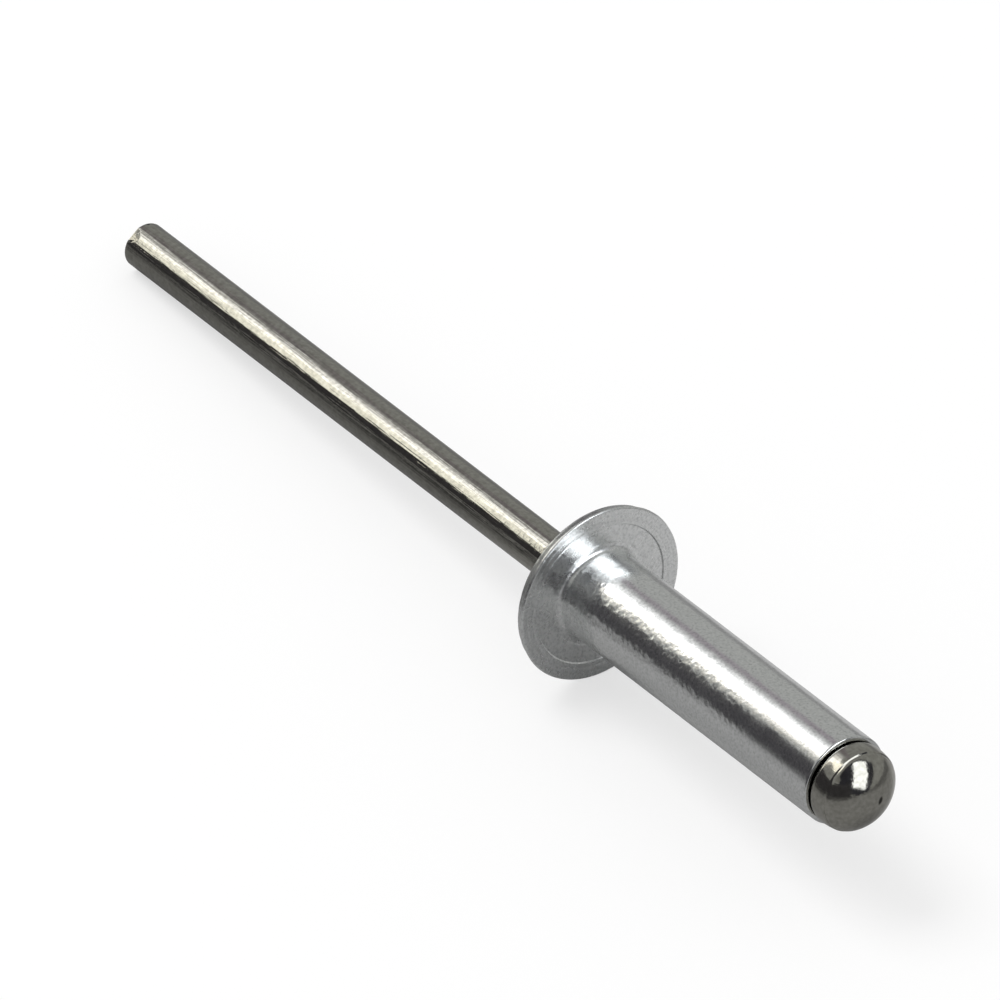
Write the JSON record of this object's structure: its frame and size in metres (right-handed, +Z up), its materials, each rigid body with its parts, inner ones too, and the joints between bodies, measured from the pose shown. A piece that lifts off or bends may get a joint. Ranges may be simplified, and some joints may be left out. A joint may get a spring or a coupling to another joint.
{
  "type": "pop rivet",
  "caption": "Open-end blind rivet as sold: aluminium tube with a domed flange, threaded on a steel pulling mandrel, lying on a surface.",
  "frame": {"origin": "on the surface it lies on, under the middle of its box", "axes": "+X along the rivet, towards the mandrel head, +Z up; the rivet's own axis rises 5.3 degrees towards the head"},
  "size_m": [0.0606, 0.0094, 0.0095],
  "materials": {
    "body_aluminium": "tumbled satin",
    "mandrel_steel": "bright drawn"
  },
  "bodies": {
    "root": {"rivet_body": "body_aluminium", "mandrel": "mandrel_steel"}
  },
  "joints": []
}
